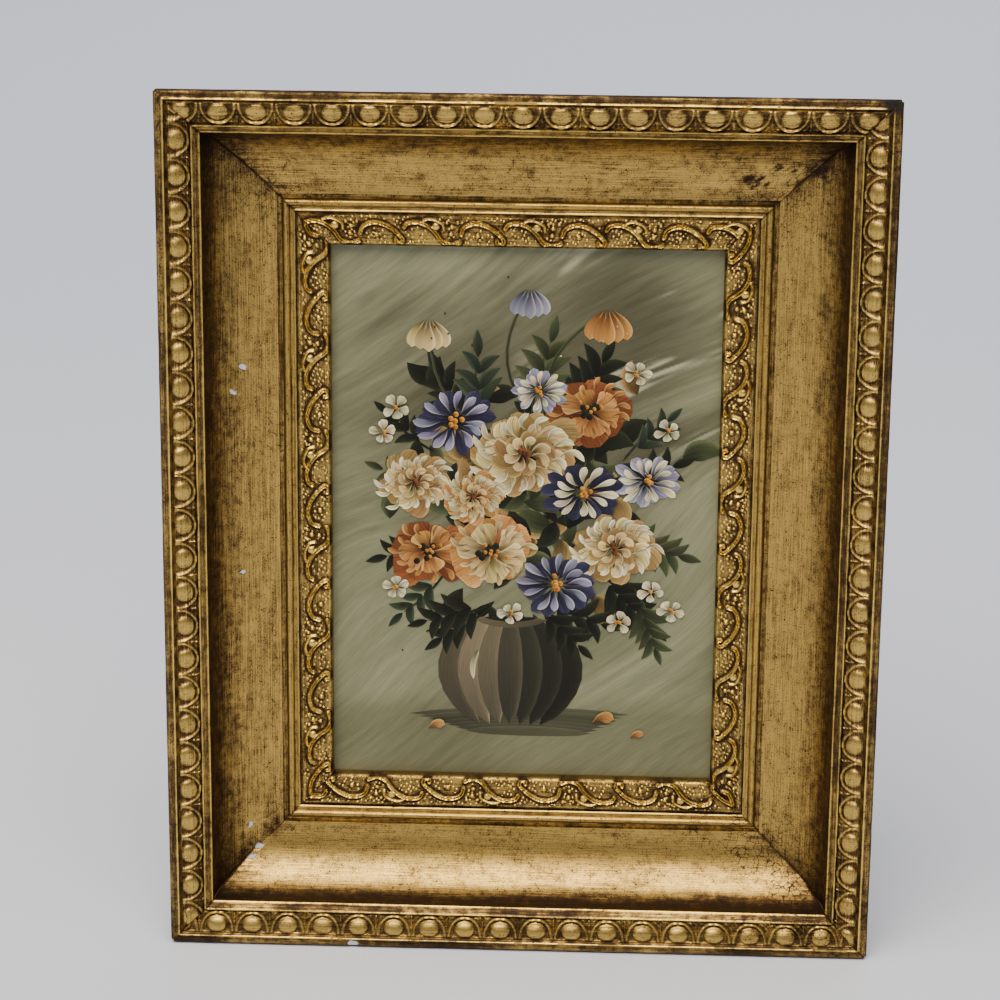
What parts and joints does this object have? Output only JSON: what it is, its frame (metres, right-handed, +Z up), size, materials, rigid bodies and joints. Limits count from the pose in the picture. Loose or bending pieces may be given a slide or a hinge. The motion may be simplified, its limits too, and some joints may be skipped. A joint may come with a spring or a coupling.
{
  "type": "framed oil painting",
  "caption": "Small flower painting on a panel in a deep gilded frame with an egg-and-dart rim, a hollow cove and a running scroll border, hung from a sawtooth hanger.",
  "frame": {"origin": "the middle of the sawtooth hanger's raised strip, on the flat face that meets the wall", "axes": "+Z up the picture, +X to the viewer's right, +Y out of the back towards the wall, so the painted side faces -Y"},
  "size_m": [0.22, 0.0369, 0.271],
  "materials": {
    "gilding": "aged leaf gilding with brown toning, on moulded wood and composition",
    "painting": "satin oil paint on a thin hardboard panel, bare brown board behind",
    "brassed_steel": "thin brass plating on stamped steel",
    "point_steel": "bare rolled steel, dulled"
  },
  "bodies": {
    "root": {"rail_top": "gilding", "rail_bottom": "gilding", "rail_left": "gilding", "rail_right": "gilding", "painted_panel": "painting", "sawtooth_hanger": "brassed_steel", "hanger_nail_1": "brassed_steel", "hanger_nail_2": "brassed_steel", "framing_point_top_1": "point_steel", "framing_point_top_2": "point_steel", "framing_point_bottom_1": "point_steel", "framing_point_bottom_2": "point_steel", "framing_point_left_1": "point_steel", "framing_point_left_2": "point_steel", "framing_point_right_1": "point_steel", "framing_point_right_2": "point_steel"}
  },
  "joints": []
}
